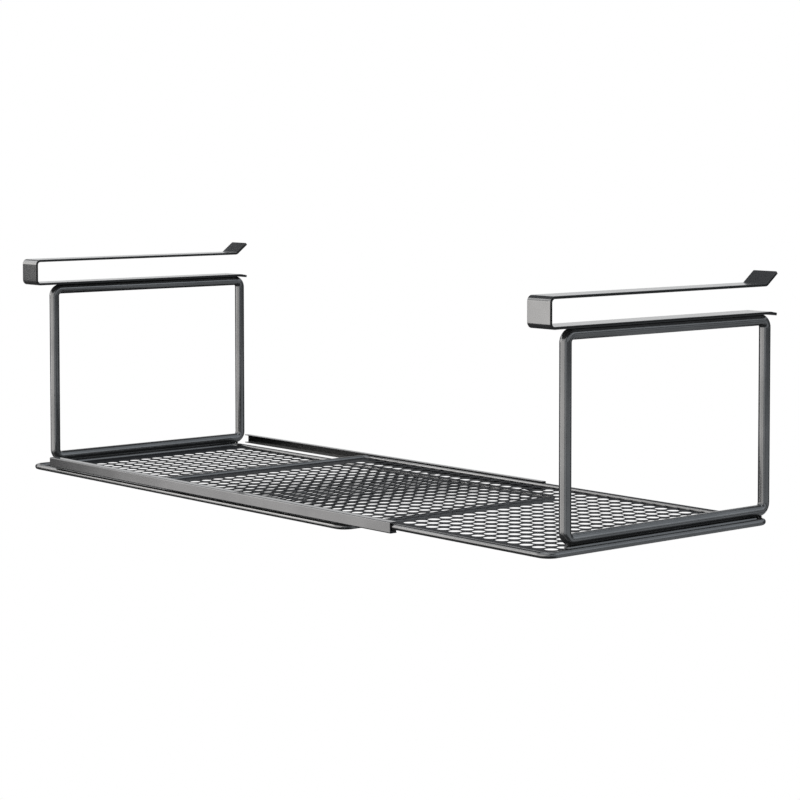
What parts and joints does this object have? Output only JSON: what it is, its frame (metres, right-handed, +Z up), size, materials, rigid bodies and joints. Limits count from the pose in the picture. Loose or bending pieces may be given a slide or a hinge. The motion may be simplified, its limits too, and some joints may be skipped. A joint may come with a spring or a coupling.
{
  "type": "pull-out mesh storage rack",
  "caption": "Hanging mesh rack that pulls out sideways: two strip clips grip a shelf, wire loops hang below, and one mesh tray slides in channels on the other.",
  "frame": {"origin": "middle of the rack's box in width and depth, on its underside, where the left tray's rim stands", "axes": "+X to the right along the pull-out direction, +Y from the closed end of the clips to their open end, +Z up"},
  "size_m": [0.7408, 0.2612, 0.2142],
  "materials": {
    "wire_paint": "semi-gloss dark grey powder coat",
    "clip_paint": "semi-gloss dark grey powder coat",
    "channel_paint": "semi-gloss dark grey powder coat",
    "mesh_paint": "satin dark grey powder coat"
  },
  "bodies": {
    "left_unit": {"left_clip": "clip_paint", "left_side_loop": "wire_paint", "left_tray_rim": "wire_paint", "left_mesh_panel": "mesh_paint", "front_channel": "channel_paint", "rear_channel": "channel_paint", "front_channel_spacer_left": "channel_paint", "front_channel_spacer_right": "channel_paint", "rear_channel_spacer_left": "channel_paint", "rear_channel_spacer_right": "channel_paint"},
    "right_unit": {"right_clip": "clip_paint", "right_side_loop": "wire_paint", "right_tray_rim": "wire_paint", "right_mesh_panel": "mesh_paint"}
  },
  "joints": [
    {"name": "tray_slide", "type": "slide", "parent": "left_unit", "child": "right_unit", "axis": [1, 0, 0], "range_m": [-0.205, 0.12]}
  ]
}
